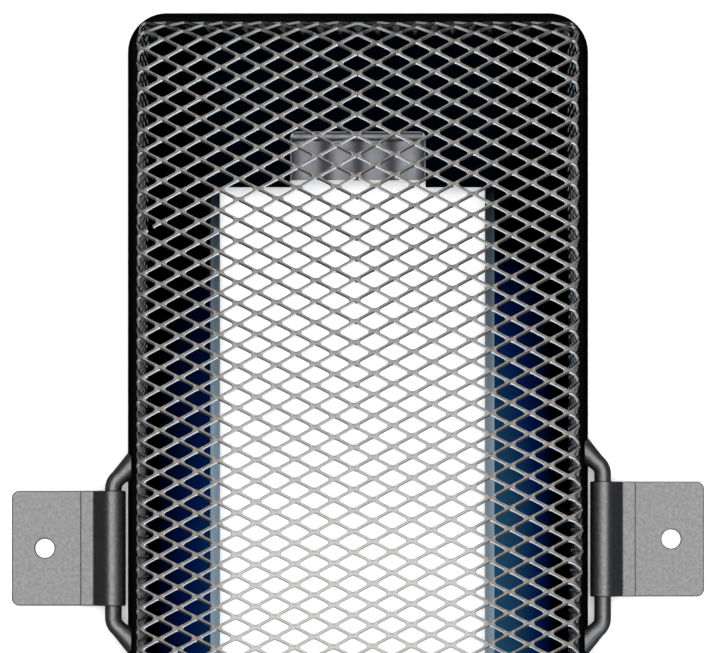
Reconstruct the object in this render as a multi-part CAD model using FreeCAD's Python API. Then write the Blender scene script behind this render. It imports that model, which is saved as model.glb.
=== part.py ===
import FreeCAD, Part
import math
import os

V = FreeCAD.Vector

# The guard lies on its back. The origin is the centre of the back plane, +Z points
# out through the mesh face, +Y is the long way up and +X is to the right.
# All sizes are in millimetres and all angles in degrees.

# Rim frame, a round rod bent to a rectangle and painted
rod_diameter = 4.5
frame_width = 124.0
frame_length = 290.0
frame_corner_radius = 10.5

# Mesh basket, one sheet of expanded metal folded to an open box
guard_height = 48.0
mesh_thickness = 1.5
face_width = 113.8
face_length = 272.6
side_fold_radius = 3.0
end_fold_radius = 9.0
rim_weld_gap = 0.1
rim_band = 5.5

# The real mesh repeats every 10 by 5.37 mm on strands 1.1 mm wide. Each opening here
# stands for a group of them, larger by one factor, so the sheet's open share is true.
mesh_long_way = 10.0
mesh_short_way = 5.37
strand_width = 1.1
bond_length = 0.9
bond_height = 1.45
mesh_grouping_factor = 3.08

# Back plate, a shallow tray of sheet steel with a window and a notch above it
plate_thickness = 1.0
plate_top = 4.0
plate_edge_radius = 2.0
plate_corner_radius = 6.0
plate_seat_gap = 0.3
window_width = 71.6
window_length = 196.0
window_shift = -1.5
window_lip_radius = 2.4
window_lip_foot = 0.4
notch_width = 36.4
notch_height = 15.0
notch_corner_radius = 1.6

# Fluted bright strip, seated under the long edges of the notch
clip_thickness = 0.6
clip_height = 11.6
clip_flutes = 4
clip_flute_rise = 1.3
clip_side_gap = 0.3
clip_tab = 3.5
clip_bead_diameter = 2.4
clip_bead_sink = 0.35
clip_bead_inset = 0.5
clip_top_gap = 0.3

# Rod loops on both long sides, which the lugs turn on
hinge_clearance = 0.1
knuckle_gap = 0.5
leg_angle = 46.0
leg_bend_radius = 3.6
left_end_float = 6.8
right_end_float = 11.0
left_loop_shift = -0.5
right_loop_shift = 1.4
weld_foot_diameter = 6.2
weld_length = 6.4

# Screw lugs, each a strip of sheet wrapped round the rod and lapped on itself
lug_thickness = 1.0
lug_length = 31.0
lug_reach = 27.6
lug_corner_radius = 2.0
lug_hole_diameter = 5.2
lug_hole_from_edge = 8.9
lug_lap_end = 9.0
lug_lap_gap = 0.1
lug_ramp_angle = 50.0
lug_valley_radius = 1.0
left_lug_slide = 1.3
right_lug_slide = 1.9

# Places that follow from the sizes above
rod_radius = rod_diameter / 2
frame_x = frame_width / 2 - rod_radius
frame_y = frame_length / 2 - rod_radius
rim_half_width = frame_width / 2 - rod_diameter - rim_weld_gap
rim_half_length = frame_length / 2 - rod_diameter - rim_weld_gap
rim_corner_radius = frame_corner_radius - rod_diameter - rim_weld_gap
knuckle_bore = rod_radius + hinge_clearance
knuckle_radius = knuckle_bore + lug_thickness
hinge_x = frame_width / 2 + knuckle_gap + knuckle_radius
hinge_z = knuckle_radius


def rounded_box(half_x, half_y, z_low, z_high, radius):
    """Box centred on the Z axis with its four upright edges rounded."""
    box = Part.makeBox(2 * half_x, 2 * half_y, z_high - z_low, V(-half_x, -half_y, z_low))
    upright = [e for e in box.Edges if e.BoundBox.ZLength > (z_high - z_low) / 2]
    return box.makeFillet(radius, upright)


def rod_through(points, bend_radius):
    """Round rod through the points, with a bend of one radius at each inner point."""
    pieces = []
    start = points[0]
    for before, corner, after in zip(points, points[1:], points[2:]):
        back = (before - corner).normalize()
        ahead = (after - corner).normalize()
        half_turn = (math.pi - back.getAngle(ahead)) / 2
        setback = bend_radius * math.tan(half_turn)
        centre = corner + (back + ahead).normalize() * (bend_radius / math.cos(half_turn))
        bend_start = corner + back * setback
        section = Part.Face(Part.Wire(Part.makeCircle(rod_radius, bend_start, back)))
        pieces.append(Part.makeCylinder(rod_radius, start.distanceToPoint(bend_start),
                                        start, -back))
        pieces.append(section.revolve(centre, ahead.cross(back), 2 * math.degrees(half_turn)))
        start = corner + ahead * setback
    pieces.append(Part.makeCylinder(rod_radius, start.distanceToPoint(points[-1]),
                                    start, points[-1] - start))
    return pieces[0].fuse(pieces[1:]).removeSplitter()


# Rim frame

def make_rim_frame():
    """Rod frame in one plane, its two ends butt welded in the middle of the top side."""
    top = V(0, frame_y, rod_radius)
    corners = [V(sx * frame_x, sy * frame_y, rod_radius)
               for sx, sy in ((1, 1), (1, -1), (-1, -1), (-1, 1))]
    return rod_through([top] + corners + [top], frame_corner_radius - rod_radius)


# Mesh basket

def folded_outline(half_rim, half_face, top, fold_radius):
    """Two leaning walls and a flat face above them, as a wire in X and Z."""
    lean = math.atan2(half_rim - half_face, top)
    setback = fold_radius * math.tan((math.pi / 2 - lean) / 2)
    centre_x, centre_z = half_face - setback, top - fold_radius
    mid = (math.pi / 2 + lean) / 2
    points = []
    for angle in (lean, mid, math.pi / 2):
        points.append((centre_x + fold_radius * math.cos(angle),
                       centre_z + fold_radius * math.sin(angle)))
    right = [V(x, 0, z) for x, z in points]
    left = [V(-x, 0, z) for x, z in points]
    foot_right, foot_left = V(half_rim, 0, 0), V(-half_rim, 0, 0)
    return Part.Wire([Part.LineSegment(foot_left, foot_right).toShape(),
                      Part.LineSegment(foot_right, right[0]).toShape(),
                      Part.Arc(*right).toShape(),
                      Part.LineSegment(right[2], left[2]).toShape(),
                      Part.Arc(*reversed(left)).toShape(),
                      Part.LineSegment(left[0], foot_left).toShape()])


def basket_block(inset):
    """The basket's outer form as a full block, or its hollow when inset by the sheet."""
    top = guard_height - inset
    half_width, half_length = rim_half_width - inset, rim_half_length - inset
    across = folded_outline(half_width, face_width / 2 - inset, top,
                            side_fold_radius - inset)
    along = folded_outline(half_length, face_length / 2 - inset, top,
                           end_fold_radius - inset)
    across = Part.Face(across).extrude(V(0, 2 * half_length, 0))
    across.translate(V(0, -half_length, 0))
    along = Part.Face(along).extrude(V(0, -2 * half_width, 0))
    along.translate(V(0, half_width, 0))
    along.rotate(V(0, 0, 0), V(0, 0, 1), 90)
    plan = rounded_box(half_width, half_length, 0, top, rim_corner_radius - inset)
    return across.common(along).common(plan)


def mesh_opening():
    """One opening between four strands, as a six-sided face at the origin."""
    long_way, short_way = mesh_long_way * mesh_grouping_factor, mesh_short_way * mesh_grouping_factor
    strand, bond = strand_width * mesh_grouping_factor, bond_length * mesh_grouping_factor
    slope = math.atan2(short_way / 2, long_way / 2 - bond)
    half_high = (short_way - bond_height * mesh_grouping_factor) / 2
    tip = (long_way - bond) / 2 - strand / 2 / math.sin(slope)
    shoulder = tip - half_high / math.tan(slope)
    points = [V(-tip, 0, 0), V(-shoulder, half_high, 0), V(shoulder, half_high, 0),
              V(tip, 0, 0), V(shoulder, -half_high, 0), V(-shoulder, -half_high, 0)]
    return Part.Face(Part.makePolygon(points + points[:1]))


def mesh_cutters(half_long, half_short, depth):
    """Staggered openings that fill a rectangle, cut to its edges, as prisms along Z."""
    opening = mesh_opening()
    step_long = mesh_long_way * mesh_grouping_factor / 2
    step_short = mesh_short_way * mesh_grouping_factor / 2
    count_long = int(half_long / step_long) + 1
    count_short = int(half_short / step_short) + 1
    faces = []
    for row in range(-count_short, count_short + 1):
        for column in range(-count_long, count_long + 1):
            if (row + column) % 2 == 0:
                face = opening.copy()
                face.translate(V(column * step_long, row * step_short, 0))
                faces.append(face)
    field = Part.makePlane(2 * half_long, 2 * half_short, V(-half_long, -half_short, 0))
    kept = Part.makeCompound(faces).common(field)
    least = opening.Area / 12
    prisms = [face.extrude(V(0, 0, 2 * depth)) for face in kept.Faces if face.Area > least]
    for prism in prisms:
        prism.translate(V(0, 0, -depth))
    return Part.makeCompound(prisms)


def make_mesh_basket():
    """Folded sheet with openings in the face, the end folds and all four walls."""
    sheet = basket_block(0).cut(basket_block(mesh_thickness))
    depth = 4 * mesh_thickness
    flat_x = face_width / 2 - side_fold_radius
    flat_y = face_length / 2 - end_fold_radius
    face = mesh_cutters(flat_x, flat_y, depth)
    face.translate(V(0, 0, guard_height))
    cutters = [face]
    wall_low, wall_high = rim_band, guard_height - side_fold_radius
    for side in (-1, 1):
        wall = mesh_cutters((wall_high - wall_low) / 2, flat_y, depth)
        wall.rotate(V(0, 0, 0), V(0, 1, 0), -90)
        wall.translate(V(side * (rim_half_width + face_width / 2) / 2, 0,
                         (wall_low + wall_high) / 2))
        cutters.append(wall)
    end_high = guard_height - end_fold_radius
    for end in (-1, 1):
        wall = mesh_cutters(flat_x, (end_high - rim_band) / 2, depth)
        wall.rotate(V(0, 0, 0), V(1, 0, 0), 90)
        wall.translate(V(0, end * (rim_half_length + face_length / 2) / 2,
                         (rim_band + end_high) / 2))
        fold = mesh_cutters(flat_x, end_fold_radius / 2, depth)
        fold.rotate(V(0, 0, 0), V(1, 0, 0), -45 * end)
        middle = end_fold_radius * math.sqrt(0.5)
        fold.translate(V(0, end * (flat_y + middle), end_high + middle))
        cutters += [wall, fold]
    return sheet.cut(cutters)


# Back plate

def tray_block(inset):
    """The plate's tray as a full block, or its underside when inset by the sheet."""
    top = plate_top - inset
    share = plate_top / (guard_height - mesh_thickness)
    lean_x = max(0, rim_half_width - face_width / 2) * share
    lean_y = max(0, rim_half_length - face_length / 2) * share
    half_x = rim_half_width - mesh_thickness - plate_seat_gap - lean_x - inset
    half_y = rim_half_length - mesh_thickness - plate_seat_gap - lean_y - inset
    return rounded_box(half_x, half_y, 0, top, plate_corner_radius - inset)


def window_lip(side):
    """Long edge of the window, turned down with a round bend to a straight foot."""
    outer, inner = window_lip_radius, window_lip_radius - plate_thickness
    half = window_width / 2
    centre_z = plate_top - outer
    root = half + outer
    diagonal_out, diagonal_in = outer * math.sqrt(0.5), inner * math.sqrt(0.5)
    outside = Part.Arc(V(root, 0, plate_top),
                       V(root - diagonal_out, 0, centre_z + diagonal_out),
                       V(half, 0, centre_z))
    inside = Part.Arc(V(root - inner, 0, centre_z),
                      V(root - diagonal_in, 0, centre_z + diagonal_in),
                      V(root, 0, plate_top - plate_thickness))
    foot_out, foot_in = V(half, 0, window_lip_foot), V(root - inner, 0, window_lip_foot)
    outline = Part.Wire([outside.toShape(),
                         Part.LineSegment(V(half, 0, centre_z), foot_out).toShape(),
                         Part.LineSegment(foot_out, foot_in).toShape(),
                         Part.LineSegment(foot_in, V(root - inner, 0, centre_z)).toShape(),
                         inside.toShape(),
                         Part.LineSegment(V(root, 0, plate_top - plate_thickness),
                                          V(root, 0, plate_top)).toShape()])
    lip = Part.Face(outline).extrude(V(0, window_length, 0))
    lip.translate(V(0, -window_length / 2, 0))
    if side < 0:
        lip.rotate(V(0, 0, 0), V(0, 0, 1), 180)
    lip.translate(V(window_shift, 0, 0))
    return lip


def make_back_plate():
    """Tray with its rim turned down, the window with its lips, and the notch."""
    block = tray_block(0)
    rim = [e for e in block.Edges if e.BoundBox.ZMin > plate_top / 2]
    tray = block.makeFillet(plate_edge_radius, rim).cut(tray_block(plate_thickness))
    window = Part.makeBox(window_width + 2 * window_lip_radius, window_length, 2 * plate_top)
    window.translate(V(window_shift - window_width / 2 - window_lip_radius,
                       -window_length / 2, 0))
    notch = rounded_box(notch_width / 2, notch_height, 0, 2 * plate_top, notch_corner_radius)
    notch.translate(V(0, window_length / 2, 0))
    below = Part.makeBox(frame_width, window_length, 4 * plate_top)
    below.translate(V(-frame_width / 2, -window_length / 2, -plate_top))
    plate = tray.cut([window, notch.cut(below)])
    return plate.fuse([window_lip(-1), window_lip(1)]).removeSplitter()


# Notch clip

def make_notch_clip():
    """Strip with upright flutes, a rolled bead on top and a flat tab at each side."""
    half = notch_width / 2 - clip_side_gap
    flute = 2 * half / clip_flutes
    low = plate_top - plate_thickness - clip_thickness
    points = [V(-half - clip_tab, 0, low), V(-half, 0, low)]
    edges = [Part.LineSegment(*points).toShape()]
    for k in range(clip_flutes):
        left = -half + k * flute
        edges.append(Part.Arc(V(left, 0, low), V(left + flute / 2, 0, low + clip_flute_rise),
                              V(left + flute, 0, low)).toShape())
    edges.append(Part.LineSegment(V(half, 0, low), V(half + clip_tab, 0, low)).toShape())
    under = Part.Wire(edges)
    over = under.copy()
    over.translate(V(0, 0, clip_thickness))
    sides = [Part.LineSegment(V(x, 0, low), V(x, 0, low + clip_thickness)).toShape()
             for x in (-half - clip_tab, half + clip_tab)]
    outline = Part.Wire(Part.__sortEdges__(under.Edges + over.Edges + sides))
    strip = Part.Face(outline).extrude(V(0, clip_height, 0))
    top = window_length / 2 + notch_height - clip_top_gap
    strip.translate(V(0, top - clip_bead_diameter / 2 - clip_height, 0))
    bead_z = low + clip_thickness + clip_bead_diameter / 2 - clip_bead_sink
    bead_half = half - clip_bead_inset
    bead = Part.makeCylinder(clip_bead_diameter / 2, 2 * bead_half,
                             V(-bead_half, top - clip_bead_diameter / 2, bead_z), V(1, 0, 0))
    return strip.fuse(bead).removeSplitter()


# Rod loops

def loop_place(side):
    """Middle and straight length of the loop on one side, along Y."""
    if side < 0:
        return left_loop_shift, lug_length + left_end_float
    return right_loop_shift, lug_length + right_end_float


def loop_points(side):
    """Corners of the loop's centreline, from one root on the frame to the other."""
    middle, straight = loop_place(side)
    run = (hinge_x - frame_x) / math.tan(math.radians(leg_angle))
    return [V(side * frame_x, middle + straight / 2 + run, hinge_z),
            V(side * hinge_x, middle + straight / 2, hinge_z),
            V(side * hinge_x, middle - straight / 2, hinge_z),
            V(side * frame_x, middle - straight / 2 - run, hinge_z)]


def make_loop(side, frame):
    """Rod bent out from the frame and back, its ends coped to the frame's rod and each
    with a tapered weld bead round it."""
    points = loop_points(side)
    beads = []
    for root, corner in ((points[0], points[1]), (points[3], points[2])):
        beads.append(Part.makeCone(weld_foot_diameter / 2, rod_radius, weld_length,
                                   root, corner - root))
    rod = rod_through(points, leg_bend_radius).fuse(beads).removeSplitter()
    inside = Part.makeBox(frame_x + rod_radius / 2, frame_length, guard_height)
    inside.translate(V(0 if side > 0 else -frame_x - rod_radius / 2, -frame_length / 2, 0))
    return rod.cut([frame, inside])


# Screw lugs

def lug_profile():
    """Section of the strip in X and Z: plate, wrap, ramp, valley and lap."""
    ramp = math.radians(lug_ramp_angle)
    normal = V(math.sin(ramp), 0, math.cos(ramp))
    axis = V(0, 0, hinge_z)
    lap_z = lug_thickness + lug_lap_gap
    valley = lug_valley_radius + lug_thickness
    valley_x = (knuckle_bore + valley
                - (lap_z + valley - hinge_z) * math.cos(ramp)) / math.sin(ramp)
    valley_centre = V(valley_x, 0, lap_z + valley)
    wrap_end = axis + normal * knuckle_bore
    ramp_end = valley_centre - normal * valley
    half_way = V(math.sin(ramp / 2), 0, math.cos(ramp / 2))
    path = Part.Wire([
        Part.LineSegment(V(lug_reach, 0, lug_thickness), V(0, 0, lug_thickness)).toShape(),
        Part.Arc(V(0, 0, lug_thickness), V(-knuckle_bore, 0, hinge_z), wrap_end).toShape(),
        Part.LineSegment(wrap_end, ramp_end).toShape(),
        Part.Arc(ramp_end, valley_centre - half_way * valley, V(valley_x, 0, lap_z)).toShape(),
        Part.LineSegment(V(valley_x, 0, lap_z), V(lug_lap_end, 0, lap_z)).toShape()])
    return path.makeOffset2D(lug_thickness, fill=True, openResult=True)


def make_lug(side):
    """Wrapped strip with rounded outer corners and one screw hole."""
    strip = lug_profile().extrude(V(0, lug_length, 0))
    strip.translate(V(0, -lug_length / 2, 0))
    corners = [e for e in strip.Edges
               if e.BoundBox.XMin > lug_reach - 0.01 and e.BoundBox.ZLength > lug_thickness / 2]
    strip = strip.makeFillet(lug_corner_radius, corners)
    hole = Part.makeCylinder(lug_hole_diameter / 2, 3 * lug_thickness,
                             V(lug_reach - lug_hole_from_edge, 0, -lug_thickness))
    lug = strip.cut(hole)
    if side < 0:
        lug.rotate(V(0, 0, 0), V(0, 0, 1), 180)
    slide = left_lug_slide if side < 0 else right_lug_slide
    lug.translate(V(side * hinge_x, loop_place(side)[0] + slide, 0))
    return lug


rim_frame = make_rim_frame()
nodes = {
    "rim_frame": rim_frame,
    "mesh_basket": make_mesh_basket(),
    "back_plate": make_back_plate(),
    "notch_clip": make_notch_clip(),
    "left_loop": make_loop(-1, rim_frame),
    "right_loop": make_loop(1, rim_frame),
    "left_lug": make_lug(-1),
    "right_lug": make_lug(1),
}

os.makedirs("parts", exist_ok=True)
for name, shape in nodes.items():
    shape.exportStep("parts/" + name + ".step")
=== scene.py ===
import math

import bpy
from mathutils import Matrix, Vector


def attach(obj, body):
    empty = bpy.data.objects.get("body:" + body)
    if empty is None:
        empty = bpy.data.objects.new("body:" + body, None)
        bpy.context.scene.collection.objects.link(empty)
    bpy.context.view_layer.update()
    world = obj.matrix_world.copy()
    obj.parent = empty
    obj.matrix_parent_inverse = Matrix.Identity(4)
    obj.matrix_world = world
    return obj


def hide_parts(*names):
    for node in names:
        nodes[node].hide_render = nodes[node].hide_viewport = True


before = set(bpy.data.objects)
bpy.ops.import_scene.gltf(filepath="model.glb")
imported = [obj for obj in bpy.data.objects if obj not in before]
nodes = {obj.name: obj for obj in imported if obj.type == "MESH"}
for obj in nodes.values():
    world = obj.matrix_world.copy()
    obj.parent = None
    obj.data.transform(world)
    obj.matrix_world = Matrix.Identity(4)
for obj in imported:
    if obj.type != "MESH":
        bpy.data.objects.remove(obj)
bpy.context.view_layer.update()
bpy.ops.object.select_all(action="DESELECT")

# Rim frame: 4.5 mm mild steel rod bent to a rectangle round the basket's rim, its ends butt
# welded. It lies in the basket's shade, which is painted into its black coat: darker, and
# with almost no gloss.

mm = 0.001


def linear(hex_colour):
    """Linear RGBA for the colour that an sRGB hex value names."""
    channels = [int(hex_colour[k:k + 2], 16) / 255 for k in (0, 2, 4)]
    return [c / 12.92 if c <= 0.04045 else ((c + 0.055) / 1.055) ** 2.4
            for c in channels] + [1.0]


def add_node(tree, kind, inputs=None, **settings):
    """A new node with its settings. Each input is given a value or fed by a socket."""
    node = tree.nodes.new(kind)
    for name, setting in settings.items():
        setattr(node, name, setting)
    for socket, source in (inputs or {}).items():
        if isinstance(source, bpy.types.NodeSocket):
            tree.links.new(source, node.inputs[socket])
        else:
            node.inputs[socket].default_value = source
    return node


def start_material(name):
    """A material and its node tree, still empty."""
    material = bpy.data.materials.new(name)
    material.use_nodes = True
    material.node_tree.nodes.clear()
    return material, material.node_tree


def end_material(tree, kind, inputs):
    """Ends a material's tree in its shader and its output."""
    shader = add_node(tree, kind, inputs)
    add_node(tree, "ShaderNodeOutputMaterial", {"Surface": shader.outputs[0]})


def dress(node_name, material):
    """Puts the finish on a node of the frame."""
    node = nodes[node_name]
    node.data.materials.clear()
    node.data.materials.append(material)


# Painted shade: the frame's black is darker and duller than the loops' coat, for the
# basket's shade that falls on it.
shaded_coat, tree = start_material("black_coat_painted_shade")
end_material(tree, "ShaderNodeBsdfPrincipled", {
    "Base Color": linear("030303"), "Roughness": 0.5, "Specular IOR Level": 0.02})
dress("rim_frame", shaded_coat)

# Mesh basket: one sheet of steel slit and stretched to diamonds, 10 mm by 5.37 mm, and
# folded to an open box that is welded inside the rim. Every strand is a strip that
# twists between the steep bonds, so its sheared edge shows beside its face.

guard_height = 48.0 * mm
long_way = 10.0 * mm
short_way = 5.37 * mm
strand_face = 0.63 * mm
sheet = 0.75 * mm
edge_round = 0.12 * mm
bond_tilt = math.radians(40)
strand_tilt = math.radians(30)
bend_middle = 0.40 * mm
slit_end = 1.22 * mm
tip_end = 1.45 * mm
half_depth = strand_face * math.sin(bond_tilt) + sheet / 2 * math.cos(bond_tilt)
mid_top = guard_height - half_depth
cell = long_way / 2
merge_gap, cut_gap = 0.004 * mm, 0.0005 * mm

# Where the strand's sections stand between one bond and the next, and the sides of a
# section that are named below, by their first corner
stations = [0.0, bend_middle, 2 * bend_middle, slit_end, tip_end]
joined = stations.index(slit_end)
stations = stations + [cell - x for x in reversed(stations)]
upper_round, front_face, lower_edge, upper_edge = 0, 1, 3, 5


def soft_ramp(x):
    """0 at the bond, then the distance past the bend's middle, rounded over the bend."""
    return min(x, 2 * bend_middle) ** 2 / (4 * bend_middle) + max(0.0, x - 2 * bend_middle)


def strand_section(x):
    """Six corners of the strand's section at x, from its upper edge round over its face.
    Up to the slit's end its inner corners are the seam with the next strand."""
    near = min(x, cell - x)
    low = strand_face / 2 * math.cos(bond_tilt)
    run = cell - 2 * bend_middle
    slope = (short_way / 2 - 2 * low) / run
    rise = soft_ramp(x) if x < cell / 2 else run - soft_ramp(cell - x)
    angle = math.atan(slope * min(1.0, near / (2 * bend_middle)))
    bent = min(1.0, max(0.0, (near - bend_middle) / (tip_end - bend_middle)))
    tilt = bond_tilt + (strand_tilt - bond_tilt) * bent
    centre = Vector((x, low + rise * slope,
                     (rise / run - 0.5) * strand_face * math.sin(bond_tilt)))
    across = Vector((-math.sin(angle), math.cos(angle), 0))
    up = Vector((0, 0, 1))
    face = across * math.cos(tilt) - up * math.sin(tilt)
    normal = up * math.cos(tilt) + across * math.sin(tilt)
    front_up = centre + face * strand_face / 2 + normal * sheet / 2
    front_low = centre - face * strand_face / 2 + normal * sheet / 2
    back_up, back_low = front_up - normal * sheet, front_low - normal * sheet
    corners = [front_up - normal * edge_round, front_up - face * edge_round,
               front_low + face * edge_round, front_low - normal * edge_round,
               back_low, back_up]
    if near <= slit_end + merge_gap:
        seam = Vector((0, math.sin(bond_tilt), math.cos(bond_tilt))) * sheet / 2
        if x < cell / 2:
            middle = Vector((x, 0, 0))
            corners[2] = corners[3] = middle + seam
            corners[4] = middle - seam
        else:
            middle = Vector((x, short_way / 2, 0))
            corners[0] = corners[1] = middle + seam
            corners[5] = middle - seam
    return corners


def make_active(piece):
    """Selects the piece alone."""
    bpy.ops.object.select_all(action="DESELECT")
    piece.select_set(True)
    bpy.context.view_layer.objects.active = piece


def apply_modifiers(piece):
    """Applies the piece's modifiers in their order."""
    make_active(piece)
    for modifier in list(piece.modifiers):
        bpy.ops.object.modifier_apply(modifier=modifier.name)


def repeat(piece, count, step):
    """Repeats the piece in a row, joined where its copies meet."""
    row = piece.modifiers.new("row", "ARRAY")
    row.count = count
    row.use_relative_offset = False
    row.use_constant_offset = True
    row.constant_offset_displace = step
    row.use_merge_vertices = True
    row.merge_threshold = merge_gap


def strand_tile():
    """Two strands from bond to bond and the two above them, which tile the sheet. Two
    attributes mark their lower sheared edges, where a glint of the window's light is
    painted, and their faces, where a sheen is painted."""
    columns, corners = len(stations), 6
    bpy.ops.mesh.primitive_grid_add(x_subdivisions=columns - 1, y_subdivisions=corners,
                                    size=cell)
    tile = bpy.context.object
    for number, vertex in enumerate(tile.data.vertices):
        vertex.co = strand_section(stations[number % columns])[number // columns % corners]
    bpy.ops.object.mode_set(mode="EDIT")
    bpy.ops.mesh.select_mode(type="FACE")
    bpy.ops.object.mode_set(mode="OBJECT")
    marks = ("glint_edge", "sheen_face")
    for mark in marks:
        tile.data.attributes.new(mark, "FLOAT", "FACE")
    bright, sheen_marks = [tile.data.attributes[mark].data for mark in marks]
    seams = [(lower_edge, segment) for segment in range(joined)]
    seams += [(upper_edge, columns - 2 - segment) for segment in range(joined)]
    for number, side in enumerate(tile.data.polygons):
        row, segment = divmod(number, columns - 1)
        bright[number].value = float(row == lower_edge)
        sheen_marks[number].value = float(row in (upper_round, front_face))
        side.select = (row, segment) in seams
    bpy.ops.object.mode_set(mode="EDIT")
    bpy.ops.mesh.delete(type="ONLY_FACE")
    bpy.ops.mesh.select_all(action="SELECT")
    bpy.ops.mesh.remove_doubles(threshold=merge_gap)
    bpy.ops.mesh.normals_make_consistent(inside=False)
    bpy.ops.object.mode_set(mode="OBJECT")
    mirror = tile.modifiers.new("other_way", "MIRROR")
    mirror.merge_threshold = merge_gap
    repeat(tile, 2, (cell, short_way / 2, 0))
    apply_modifiers(tile)
    return tile


# The sheet lies a little askew on its box: its rows rise to the right, its columns lean,
# its outer parts are pressed together and it is shifted. Its pitch also drifts by a few
# hundredths from place to place, in mm by 1, u, w, uu, uw, ww, uuu and www in metres.
row_rise = math.tan(math.radians(0.75))
column_lean = math.tan(math.radians(0.4))
press_u, press_v = 2.2, 0.55
shift_u, shift_v = -0.4 * mm, 0.3 * mm
drift_u = (-0.78, -3.0, -2.3, 54, -15, 24, 1720, 0)
drift_v = (-0.12, 5.1, -2.8, -67, 71, 60, -1060, -444)
even_below = -30 * mm


def lay(u, v):
    """Place of a point of the even sheet on the stretched one."""
    u, v = u + column_lean * v, v + row_rise * u
    u, v = u - press_u * u ** 3 + shift_u, v - press_v * v ** 3 + shift_v
    w = max(v, even_below)
    terms = (1, u, w, u * u, u * w, w * w, u ** 3, w ** 3)
    return (u + sum(drift * term for drift, term in zip(drift_u, terms)) * mm,
            v + sum(drift * term for drift, term in zip(drift_v, terms)) * mm)


def cut_away(piece, point, normal):
    """Cuts off what lies beyond a plane and closes the cut."""
    make_active(piece)
    bpy.ops.object.mode_set(mode="EDIT")
    bpy.ops.mesh.select_all(action="SELECT")
    bpy.ops.mesh.bisect(plane_co=point, plane_no=normal, use_fill=True, clear_outer=True,
                        threshold=cut_gap)
    bpy.ops.object.mode_set(mode="OBJECT")


# Openings laid down past each side of a stretch, because lay() moves them
spare_u, spare_v = 1, 3


def flat_sheet(name, tile, u_low, u_high, v_low, v_high):
    """A stretch of the sheet before it is folded, cut to its four sides."""
    piece = tile.copy()
    piece.data = tile.data.copy()
    piece.name = name
    bpy.context.collection.objects.link(piece)
    first_u = math.floor(u_low / long_way) - spare_u
    first_v = math.floor(v_low / short_way) - spare_v
    last_u = math.ceil(u_high / long_way) + spare_u
    last_v = math.ceil(v_high / short_way) + spare_v
    make_active(piece)
    piece.data.transform(Matrix.Translation((first_u * long_way, first_v * short_way, 0)))
    repeat(piece, last_u + 1 - first_u, (long_way, 0, 0))
    repeat(piece, last_v + 1 - first_v, (0, short_way, 0))
    apply_modifiers(piece)
    for vertex in piece.data.vertices:
        vertex.co.x, vertex.co.y = lay(vertex.co.x, vertex.co.y)
    cut_away(piece, (u_low, 0, 0), (-1, 0, 0))
    cut_away(piece, (u_high, 0, 0), (1, 0, 0))
    cut_away(piece, (0, v_low, 0), (0, -1, 0))
    cut_away(piece, (0, v_high, 0), (0, 1, 0))
    return piece


# One strand near the upper left is torn: a stub is left at its upper bond. The rest is
# found by how far its faces' centres lie from the strand's middle and past the stub.
torn_column, torn_row = -10, 32
torn_from = lay(torn_column * cell, torn_row * short_way / 2)
torn_to = lay((torn_column - 1) * cell, (torn_row - 1) * short_way / 2)
stub = 2.4 * mm
near_middle = 0.6 * mm
past_stub, past_rest = 0.1 * mm, 1.5 * mm


def tear_strand(piece, start, end):
    """Takes out the strand between two bonds but for a stub at the first, and caps both."""
    start, end = Vector((*start, 0)), Vector((*end, 0))
    along = (end - start).normalized()
    across = Vector((-along.y, along.x, 0))
    middle = (end - start).length / 2

    def pick(low, high):
        for side in piece.data.polygons:
            offset = side.center - start
            side.select = (low < offset.dot(along) < high
                           and abs(offset.dot(across)) < sheet)

    make_active(piece)
    pick(middle - near_middle, middle + near_middle)
    bpy.ops.object.mode_set(mode="EDIT")
    bpy.ops.mesh.bisect(plane_co=start + along * stub, plane_no=along)
    bpy.ops.object.mode_set(mode="OBJECT")
    pick(stub + past_stub, stub + past_rest)
    bpy.ops.object.mode_set(mode="EDIT")
    bpy.ops.mesh.delete(type="FACE")
    bpy.ops.mesh.select_all(action="SELECT")
    bpy.ops.mesh.fill_holes(sides=0)
    bpy.ops.object.mode_set(mode="OBJECT")


# The box: its face, its walls, which lean out towards the rim, and the folds between
# them by their outer radius, the radius of the sheet's middle, turn and ends
face_half_width, rim_half_width = 56.9 * mm, 57.4 * mm
face_half_length, rim_half_length = 136.3 * mm, 140.4 * mm
side_fold, end_fold, corner_round = 3.0 * mm, 9.0 * mm, 5.9 * mm
side_radius, end_radius = side_fold - half_depth, end_fold - half_depth
side_turn = math.pi / 2 - math.atan2(rim_half_width - face_half_width, guard_height)
end_turn = math.pi / 2 - math.atan2(rim_half_length - face_half_length, guard_height)
flat_u = face_half_width - side_fold * math.tan(side_turn / 2)
flat_v = face_half_length - end_fold * math.tan(end_turn / 2)
side_fold_end = flat_u + side_radius * side_turn
end_fold_end = flat_v + end_radius * end_turn
fold_foot = guard_height - end_fold
bulge, bulge_place, bulge_reach = 0.9 * mm, 4 * mm, 18 * mm


def fold_over(s, flat, turn, radius):
    """How far out and down a point s along the sheet comes to lie, and its turn."""
    angle = min(turn, max(0.0, (s - flat) / radius))
    beyond = max(0.0, s - flat - radius * turn)
    out = min(s, flat) + radius * math.sin(angle) + beyond * math.cos(turn)
    return out, radius * (1 - math.cos(angle)) + beyond * math.sin(turn), angle


def corner_at(z):
    """Half width of the box and radius of its upright corners at a height."""
    down = min(1.0, max(0.0, (fold_foot - z) / fold_foot))
    radius = side_fold + (corner_round - side_fold) * down - half_depth
    share = (guard_height - z) / guard_height
    width = face_half_width + (rim_half_width - face_half_width) * share - half_depth
    return width, radius


def fold_face(u, v, h):
    """Face with its side folds and side walls, of which the right fold bulges."""
    out, down, angle = fold_over(abs(u), flat_u, side_turn, side_radius)
    x = out + h * math.sin(angle)
    if u > 0:
        x += bulge * math.sin(angle) * math.exp(-((v - bulge_place) / bulge_reach) ** 2)
    return math.copysign(x, u), v, mid_top - down + h * math.cos(angle)


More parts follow.
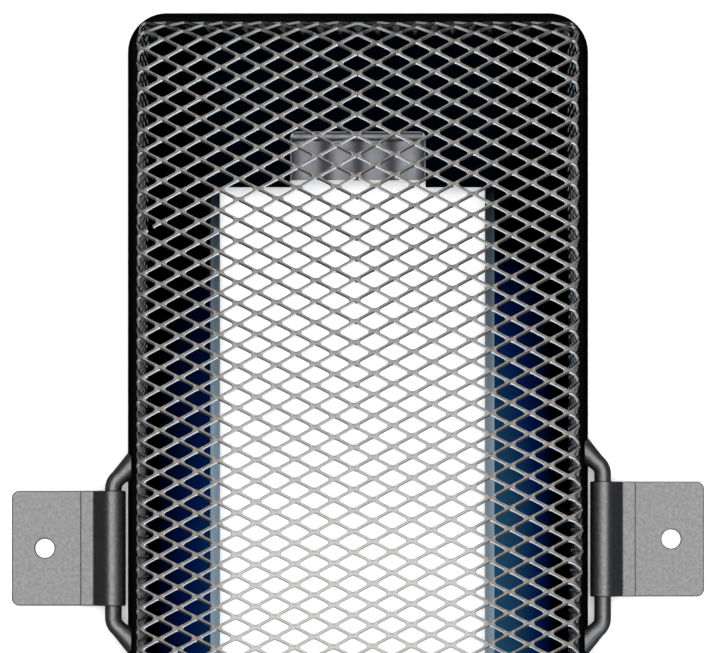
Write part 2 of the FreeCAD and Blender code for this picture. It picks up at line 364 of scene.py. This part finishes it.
def fold_end(u, v, h):
    """End fold and end wall, wrapped half way round the box's upright corners."""
    out, down, angle = fold_over(abs(v), flat_v, end_turn, end_radius)
    width, radius = corner_at(mid_top - down)
    start = width - radius
    wrap = max(0.0, (abs(u) - start) / radius)
    x = min(abs(u), start) + (radius + h) * math.sin(wrap)
    rise = h * math.cos(wrap) - radius * (1 - math.cos(wrap))
    y = out + rise * math.sin(angle)
    return math.copysign(x, u), math.copysign(y, v), mid_top - down + rise * math.cos(angle)


def fold_side(u, v, h):
    """Side wall beyond the end folds, wrapped half way round the upright corners."""
    z = mid_top - side_radius * math.sin(side_turn) - (abs(u) - side_fold_end)
    width, radius = corner_at(z)
    dy, dz = abs(v) - flat_v, z - fold_foot
    lean = math.pi / 2 - end_turn
    heading = max(lean, math.atan2(dz, dy))
    reach = dy * math.cos(heading) + dz * math.sin(heading)
    start = end_radius - radius
    wrap = max(0.0, (reach - start) / radius)
    out = h * math.sin(wrap) + min(0.0, start - reach) + radius * math.sin(wrap)
    x = width - radius * (1 - math.cos(wrap)) + h * math.cos(wrap)
    y = abs(v) + out * math.cos(heading)
    return math.copysign(x, u), math.copysign(y, v), z + out * math.sin(heading)


# How much of the painted glint stays on edges that look outward and on the folds and walls,
# and the distance past the face over which it fades
outward_share, folded_share, edge_fade = 0.08, 0.3, 6 * mm


def fold(piece, folding):
    """Moves every point of the flat piece to its place on the box. The glint painted on its
    sheared edges is strongest on the face, and where they look to the middle."""
    bright = piece.data.attributes["glint_edge"].data
    for side in piece.data.polygons:
        over = max(abs(side.center.x) - flat_u, abs(side.center.y) - flat_v, 0)
        inward = 1.0 if side.normal.x * side.center.x < 0 else outward_share
        bright[side.index].value *= inward * max(folded_share, 1 - over / edge_fade)
    for vertex in piece.data.vertices:
        vertex.co = folding(*vertex.co)


# Where the sheet is cut: the walls' tops and feet, and the seams down the middle of the
# upright corners, which go round the end fold in three cuts and then out to the rim
quarter_spare = 1 - math.pi / 4
wall_top = side_fold_end + 1.0 * mm
rim_drop = 0.8 * mm
wall_foot_u = side_fold_end + mid_top - side_radius - rim_drop
wall_foot_v = end_fold_end + (mid_top - end_radius - rim_drop) / math.sin(end_turn)
corner_seam_u = 55.5 * mm
corner_top_u = side_fold_end - (end_fold - side_fold)
corner_foot_u = side_fold_end + mid_top - side_radius - fold_foot
fold_seam = end_radius - quarter_spare * side_radius
foot_seam = rim_half_length - half_depth - quarter_spare * (corner_round - half_depth)
seam_cuts = (20, 50, 80)


def corner_sheet(name, tile, side, end):
    """The stretch of a side wall beyond an end fold, cut to its seam and folded."""
    corner = flat_sheet(name, tile, *sorted((side * corner_top_u, side * wall_foot_u)),
                        *sorted((end * flat_v, end * rim_half_length)))
    fold_middle = Vector((side * corner_foot_u, end * flat_v, 0))
    for degrees in seam_cuts:
        turned = math.radians(degrees)
        outward = Vector((-side * math.sin(turned), end * math.cos(turned), 0))
        cut_away(corner, fold_middle + outward * fold_seam, outward)
    outward = Vector((-side * (foot_seam - flat_v - fold_seam),
                      end * (wall_foot_u - corner_foot_u), 0)).normalized()
    cut_away(corner, Vector((side * corner_foot_u, end * (flat_v + fold_seam), 0)), outward)
    fold(corner, fold_side)
    return corner


tile = strand_tile()
basket = []
for name, low, high in (("mesh_face_upper", 0, flat_v), ("mesh_face_lower", -flat_v, 0)):
    half_face = flat_sheet(name, tile, -wall_top, wall_top, low, high)
    if low == 0:
        tear_strand(half_face, torn_from, torn_to)
    fold(half_face, fold_face)
    basket.append(half_face)

for name, low, high in (("mesh_top_end", flat_v, wall_foot_v),
                        ("mesh_bottom_end", -wall_foot_v, -flat_v)):
    end_sheet = flat_sheet(name, tile, -corner_seam_u, corner_seam_u, low, high)
    fold(end_sheet, fold_end)
    basket.append(end_sheet)

for name, side in (("mesh_left_wall", -1), ("mesh_right_wall", 1)):
    wall = flat_sheet(name, tile, *sorted((side * wall_top, side * wall_foot_u)),
                      -flat_v, flat_v)
    fold(wall, fold_face)
    wall_ends = [corner_sheet(name + "_corner", tile, side, end) for end in (-1, 1)]
    make_active(wall)
    for wall_end in wall_ends:
        wall_end.select_set(True)
    bpy.ops.object.join()
    basket.append(wall)
bpy.data.objects.remove(tile)


def calculate(tree, operation, *terms):
    """Result of a calculation on sockets and values."""
    return add_node(tree, "ShaderNodeMath", dict(enumerate(terms)),
                    operation=operation).outputs[0]


def product(tree, first, *others):
    """Product of what the sockets give."""
    for other in others:
        first = calculate(tree, "MULTIPLY", first, other)
    return first


def fade(tree, value, start, end, least=0.0, most=1.0):
    """Goes evenly from least to most while the value goes from start to end."""
    return add_node(tree, "ShaderNodeMapRange", {
        "Value": value, "From Min": start, "From Max": end,
        "To Min": least, "To Max": most}).outputs["Result"]


def blend(tree, factor, first, second):
    """Colour between two colours."""
    return add_node(tree, "ShaderNodeMix", {0: factor, 6: first, 7: second},
                    data_type="RGBA").outputs[2]


def ramp(tree, factor, *stops):
    """Colour on a ramp of positions and their hex colours."""
    node = add_node(tree, "ShaderNodeValToRGB", {"Fac": factor})
    elements = node.color_ramp.elements
    elements.remove(elements[1])
    elements[0].position = stops[0][0]
    elements[0].color = linear(stops[0][1])
    for position, colour in stops[1:]:
        elements.new(position).color = linear(colour)
    return node.outputs["Color"]


def noise(tree, place, size, detail):
    """Noise whose grain has a size. Most of it lies from noise_low to noise_high."""
    return add_node(tree, "ShaderNodeTexNoise", {
        "Vector": place, "Scale": 1 / size, "Detail": detail}).outputs["Fac"]


noise_low, noise_high = 0.3, 0.7


# The back plate's window, by which the paint of the plate and the floor go as well
window_middle, window_half, window_end = -1.5 * mm, 35.8 * mm, 98 * mm


def from_window_middle(tree, x):
    """Distance from the window's middle line."""
    return calculate(tree, "ABSOLUTE", calculate(tree, "SUBTRACT", x, window_middle))


# The mesh's coat: black gloss paint. A painted sheen of the overhead light makes the
# strands' faces grey, painted glints of the window's light make their lower sheared edges
# bluish white, and painted glare makes them paler over the window the further down it is.
# Below the crest of the folds the sheen fades out as painted shade, so the walls stay
# black.
patches = 14 * mm
soft, pale_from, palest_from, palest = 6 * mm, 72 * mm, 0.0, 0.85
sheen_from, full_sheen_from = guard_height - 8 * mm, guard_height - 2.5 * mm
mesh_coat, tree = start_material("black_mesh_coat_painted_light")
place = add_node(tree, "ShaderNodeTexCoord").outputs["Object"]
x, y, z = add_node(tree, "ShaderNodeSeparateXYZ", {"Vector": place}).outputs
# Painted sheen: the grey that the overhead light gives the black strands' faces, in uneven
# patches.
sheen_grey = ramp(tree, noise(tree, place, patches, detail=3.0),
                   (0.35, "726e6a"), (0.65, "807b76"))
# The mask of the painted glare: over the window, stronger the further down it is.
over_window = fade(tree, from_window_middle(tree, x), window_half, window_half - soft)
lower_down = fade(tree, y, pale_from, palest_from, most=palest)
above_end = fade(tree, y, -window_end, -window_end + soft)
# Painted shade: the sheen fades out below the crest of the folds, so the walls stay black.
crest = fade(tree, z, sheen_from, full_sheen_from)
sheen_face = add_node(tree, "ShaderNodeAttribute", attribute_name="sheen_face")
glint_edge = add_node(tree, "ShaderNodeAttribute", attribute_name="glint_edge")
tone = blend(tree, product(tree, sheen_face.outputs["Fac"], crest),
             linear("0a0b0c"), sheen_grey)
# Painted glints: the window's light on the strands' lower sheared edges, in bluish white.
tone = blend(tree, glint_edge.outputs["Fac"], tone, linear("dde8ee"))
# Painted glare: the window's light makes the strands over it paler.
tone = blend(tree, product(tree, over_window, lower_down, above_end), tone,
             linear("bab8b5"))
end_material(tree, "ShaderNodeBsdfPrincipled", {
    "Base Color": tone, "Roughness": 0.26, "IOR": 1.9, "Specular IOR Level": 0.3})

smooth_angle = math.radians(50)


def finish_mesh(piece, material):
    """Smooths the piece's shading up to an angle and gives it its finish."""
    make_active(piece)
    bpy.ops.object.shade_smooth_by_angle(angle=smooth_angle)
    piece.data.materials.clear()
    piece.data.materials.append(material)


for piece in basket:
    finish_mesh(piece, mesh_coat)
    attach(piece, "guard")
    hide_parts("mesh_basket")

# Rod loops: the same rod bent out from each long side and back, so that its straight
# stretch stands clear of the rim as a hinge pin, and welded at both roots. Their black
# powder coat is semi-gloss, with an orange peel under 1 mm that mottles every sheen.

peel_width, peel_depth = 0.9 * mm, 0.08 * mm
powder_coat, tree = start_material("black_powder_coat")
place = add_node(tree, "ShaderNodeTexCoord").outputs["Object"]
orange_peel = noise(tree, place, peel_width, detail=2.0)
relief = add_node(tree, "ShaderNodeBump", {
    "Height": orange_peel, "Strength": 0.6, "Distance": peel_depth})
end_material(tree, "ShaderNodeBsdfPrincipled", {
    "Base Color": linear("0e1012"), "IOR": 1.95, "Roughness": 0.4,
    "Specular IOR Level": fade(tree, orange_peel, noise_low, noise_high, 0.65, 0.88),
    "Normal": relief.outputs["Normal"]})

for name in ("left_loop", "right_loop"):
    dress(name, powder_coat)

# Screw lugs: strips of 1 mm sheet wrapped round the loops' rods and lapped back on
# themselves, with one punched screw hole each. The coat rounds all their edges.

flat_angle = math.radians(1)


def own_copy(node_name, name):
    """A copy of a node's mesh, welded to one skin, that stands for the node."""
    piece = bpy.data.objects.new(name, nodes[node_name].data.copy())
    bpy.context.collection.objects.link(piece)
    make_active(piece)
    bpy.ops.object.mode_set(mode="EDIT")
    bpy.ops.mesh.select_mode(type="VERT")
    bpy.ops.mesh.select_all(action="SELECT")
    bpy.ops.mesh.remove_doubles(threshold=merge_gap)
    bpy.ops.mesh.dissolve_limited(angle_limit=flat_angle)
    bpy.ops.object.mode_set(mode="OBJECT")
    return piece


def round_edges(piece, width, angle, segments):
    """Rounds the piece's edges that turn by more than an angle."""
    bevel = piece.modifiers.new("rounded", "BEVEL")
    bevel.width = width
    bevel.segments = segments
    bevel.limit_method = "ANGLE"
    bevel.angle_limit = math.radians(angle)
    apply_modifiers(piece)


def even_shading(piece):
    """Turns the corners' normals to their largest faces, so that flats look flat."""
    weigh = piece.modifiers.new("flats", "WEIGHTED_NORMAL")
    weigh.keep_sharp = True
    weigh.weight = 100
    apply_modifiers(piece)


for name, body in (("left_lug", "left_lug"), ("right_lug", "right_lug")):
    lug = own_copy(name, name + "_strip")
    round_edges(lug, width=0.48 * mm, angle=40, segments=4)
    finish_mesh(lug, powder_coat)
    even_shading(lug)
    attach(lug, body)
    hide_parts(name)

# Back plate: a shallow sheet steel tray behind the mesh with a long window whose edges are
# rolled down, and its foot flared out to the rim. It is painted dead black, and the blue
# bloom that light from the window casts on it is painted into its colour.

plate = own_copy("back_plate", "back_plate_tray")
tray_corner, foot_height, flare = 7.0 * mm, 1.0 * mm, 2.2 * mm
half_tray = [max(vertex.co[k] for vertex in plate.data.vertices) for k in (0, 1)]
for vertex in plate.data.vertices:
    for k in (0, 1):
        if vertex.co.z < foot_height and abs(vertex.co[k]) > half_tray[k] - tray_corner:
            vertex.co[k] += math.copysign(flare, vertex.co[k])

# The painted bloom grows down the window and towards it, is weaker on the left and ends
# below the window. The rolled lips along the window turn from black to grey down their
# length, as painted light from the window.
bloom_from, bloom_full, bloom_end = 86 * mm, 10 * mm, -window_end - 12 * mm
bloom_far, bloom_near = window_half + 19 * mm, window_half + 3 * mm
bloom_left, bloom_right, left_share = -5 * mm, 5 * mm, 0.4
lip_width, lip_black, lip_grey = 2.4 * mm, 98 * mm, 35 * mm
dead_black_and_bloom, tree = start_material("dead_black_paint_and_painted_bloom")
place = add_node(tree, "ShaderNodeTexCoord").outputs["Object"]
x, y = add_node(tree, "ShaderNodeSeparateXYZ", {"Vector": place}).outputs[:2]
from_middle = from_window_middle(tree, x)
# Painted light: the blue that the window's light casts on the black plate.
bloom = product(tree, fade(tree, y, bloom_from, bloom_full),
                fade(tree, from_middle, bloom_far, bloom_near),
                fade(tree, x, bloom_left, bloom_right, least=left_share),
                fade(tree, y, bloom_end, -window_end))
blue = ramp(tree, bloom, (0.05, "000000"), (0.3, "001748"), (0.9, "204967"))
# Painted light: the rolled lips catch more of the window's light lower down, so they are
# painted from black to grey.
lip_tone = ramp(tree, fade(tree, y, lip_black, lip_grey),
                (0.0, "00040a"), (1.0, "8ca0af"))
on_lip = product(tree, calculate(tree, "LESS_THAN", from_middle, window_half + lip_width),
                 calculate(tree, "GREATER_THAN", y, -window_end))
end_material(tree, "ShaderNodeBsdfPrincipled", {
    "Base Color": blend(tree, on_lip, blue, lip_tone),
    "Roughness": 0.9, "Specular IOR Level": 0.0})
finish_mesh(plate, dead_black_and_bloom)
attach(plate, "guard")
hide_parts("back_plate")

# Notch clip: a strip of bright rolled steel with pressed flutes and a rolled top edge,
# a little smeared and dulled.

smears = 3 * mm
bright_steel, tree = start_material("bright_rolled_steel")
place = add_node(tree, "ShaderNodeTexCoord").outputs["Object"]
smeared = noise(tree, place, smears, detail=4.0)
end_material(tree, "ShaderNodeBsdfPrincipled", {
    "Base Color": linear("7c7e82"), "Metallic": 1.0,
    "Roughness": fade(tree, smeared, noise_low, noise_high, 0.36, 0.55)})
dress("notch_clip", bright_steel)

# Studio: a white floor, one large soft box overhead, a warm one beyond the top end, a
# cool one low at the right, and the camera straight above the guard. Floor and sky look
# white to the camera, and send little light back up into the mesh.

floor_size, under_window = 6.0, 112 * mm
lift_from, full_lift_from, least_lift = 0.4, 1.6, 0.3
bpy.ops.mesh.primitive_plane_add(size=floor_size, location=(0, 0, 0))
floor = bpy.context.object
floor.name = "floor"
floor_white, tree = start_material("white_floor")
place = add_node(tree, "ShaderNodeTexCoord").outputs["Object"]
x, y = add_node(tree, "ShaderNodeSeparateXYZ", {"Vector": place}).outputs[:2]
from_middle = from_window_middle(tree, x)
patch = product(tree, calculate(tree, "LESS_THAN", from_middle, window_half + lip_width),
                calculate(tree, "LESS_THAN", calculate(tree, "ABSOLUTE", y), under_window))
seen = add_node(tree, "ShaderNodeLightPath").outputs["Is Camera Ray"]
tone = blend(tree, patch, blend(tree, seen, linear("595959"), linear("fafafa")),
             linear("fafafa"))
matt = add_node(tree, "ShaderNodeBsdfDiffuse", {"Color": tone})
distance = add_node(tree, "ShaderNodeVectorMath", {0: place}, operation="LENGTH")
lift = product(tree, seen, fade(tree, distance.outputs["Value"], lift_from,
                                full_lift_from, least=least_lift))
glow = add_node(tree, "ShaderNodeEmission", {"Strength": lift})
end_material(tree, "ShaderNodeAddShader", {0: matt.outputs["BSDF"],
                                           1: glow.outputs["Emission"]})
floor.data.materials.append(floor_white)

for name, spot, size, energy, colour in (
        ("overhead_box", (0.0, 0.05, 1.6), 2.4, 44, "ffffff"),
        ("warm_box", (0.0, 1.3, 0.9), 1.2, 5.8, "fff2e8"),
        ("cool_box", (1.05, -0.8, 0.75), 0.8, 3, "cfe2ff")):
    lamp_data = bpy.data.lights.new(name, "AREA")
    lamp_data.shape = "SQUARE"
    lamp_data.size = size
    lamp_data.energy = energy
    lamp_data.color = linear(colour)[:3]
    lamp = bpy.data.objects.new(name, lamp_data)
    lamp.location = spot
    lamp.rotation_euler = (-Vector(spot)).to_track_quat("-Z", "Y").to_euler()
    bpy.context.collection.objects.link(lamp)

sky_light = 0.09
world = bpy.data.worlds.new("studio")
world.use_nodes = True
bpy.context.scene.world = world
tree = world.node_tree
sky = tree.nodes["Background"]
sky.inputs["Color"].default_value = linear("ffffff")
seen = add_node(tree, "ShaderNodeLightPath").outputs["Is Camera Ray"]
tree.links.new(fade(tree, seen, 0, 1, least=sky_light), sky.inputs["Strength"])

camera_data = bpy.data.cameras.new("camera")
camera_data.sensor_width = 36.0
camera_data.lens = 158.2
camera_data.shift_y = 0.269
camera = bpy.data.objects.new("camera", camera_data)
camera.location = (0.54 * mm, 8.38 * mm, 855 * mm)
bpy.context.collection.objects.link(camera)
bpy.context.scene.camera = camera
bpy.context.scene.view_settings.view_transform = "Standard"
